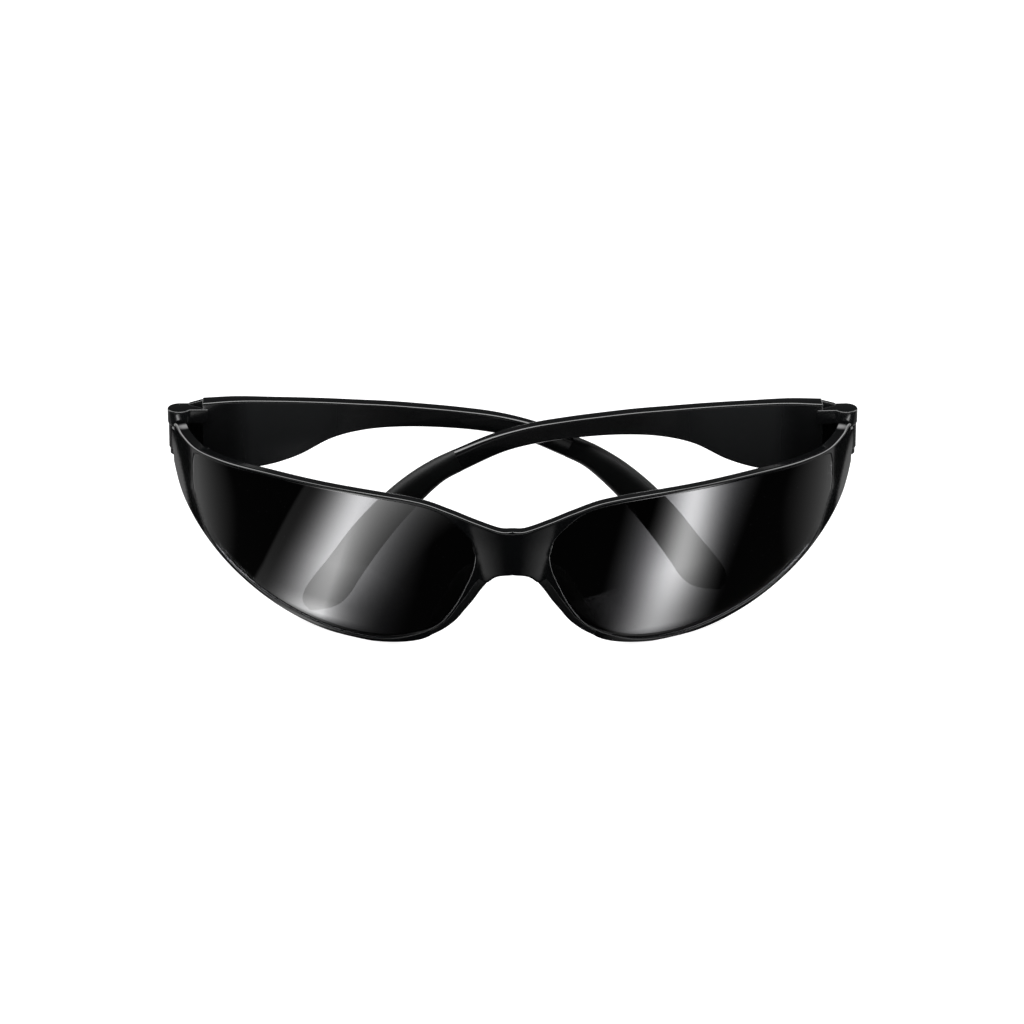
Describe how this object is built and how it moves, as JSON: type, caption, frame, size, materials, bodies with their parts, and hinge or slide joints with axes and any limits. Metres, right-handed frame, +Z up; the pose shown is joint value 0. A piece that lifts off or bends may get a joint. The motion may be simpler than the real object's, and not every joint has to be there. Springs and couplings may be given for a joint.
{
  "type": "tinted safety glasses",
  "caption": "Wraparound safety glasses with smoke-tinted lenses in a thin black rim, a nose bridge with soft pads and folding temples with soft ear tips.",
  "frame": {"origin": "middle of the folded part's footprint, on the table plane that it rests on", "axes": "+X towards the wearer's left, +Y from the front back towards the wearer's head, +Z up"},
  "size_m": [0.1454, 0.0518, 0.0387],
  "materials": {
    "frame": "gloss black moulded nylon",
    "lens": "dark grey tinted clear polycarbonate, polished",
    "nose_pad": "soft matte black elastomer",
    "temple": "gloss black moulded nylon",
    "ear_tip": "soft matte black elastomer",
    "hinge_pin": "plain steel"
  },
  "bodies": {
    "front": {"frame": "frame", "lens_right": "lens", "lens_left": "lens", "nose_pad_right": "nose_pad", "nose_pad_left": "nose_pad"},
    "temple_left": {"temple_left": "temple", "ear_tip_left": "ear_tip", "hinge_pin_left": "hinge_pin"},
    "temple_right": {"temple_right": "temple", "ear_tip_right": "ear_tip", "hinge_pin_right": "hinge_pin"}
  },
  "joints": [
    {"name": "left_hinge", "type": "hinge", "parent": "front", "child": "temple_left", "pos_m": [0.07016, 0.02318, 0.03], "axis": [0, 0, -1], "range_deg": [0, 94]},
    {"name": "right_hinge", "type": "hinge", "parent": "front", "child": "temple_right", "pos_m": [-0.07016, 0.02318, 0.03], "axis": [0, 0, 1], "range_deg": [0, 89.1]}
  ]
}
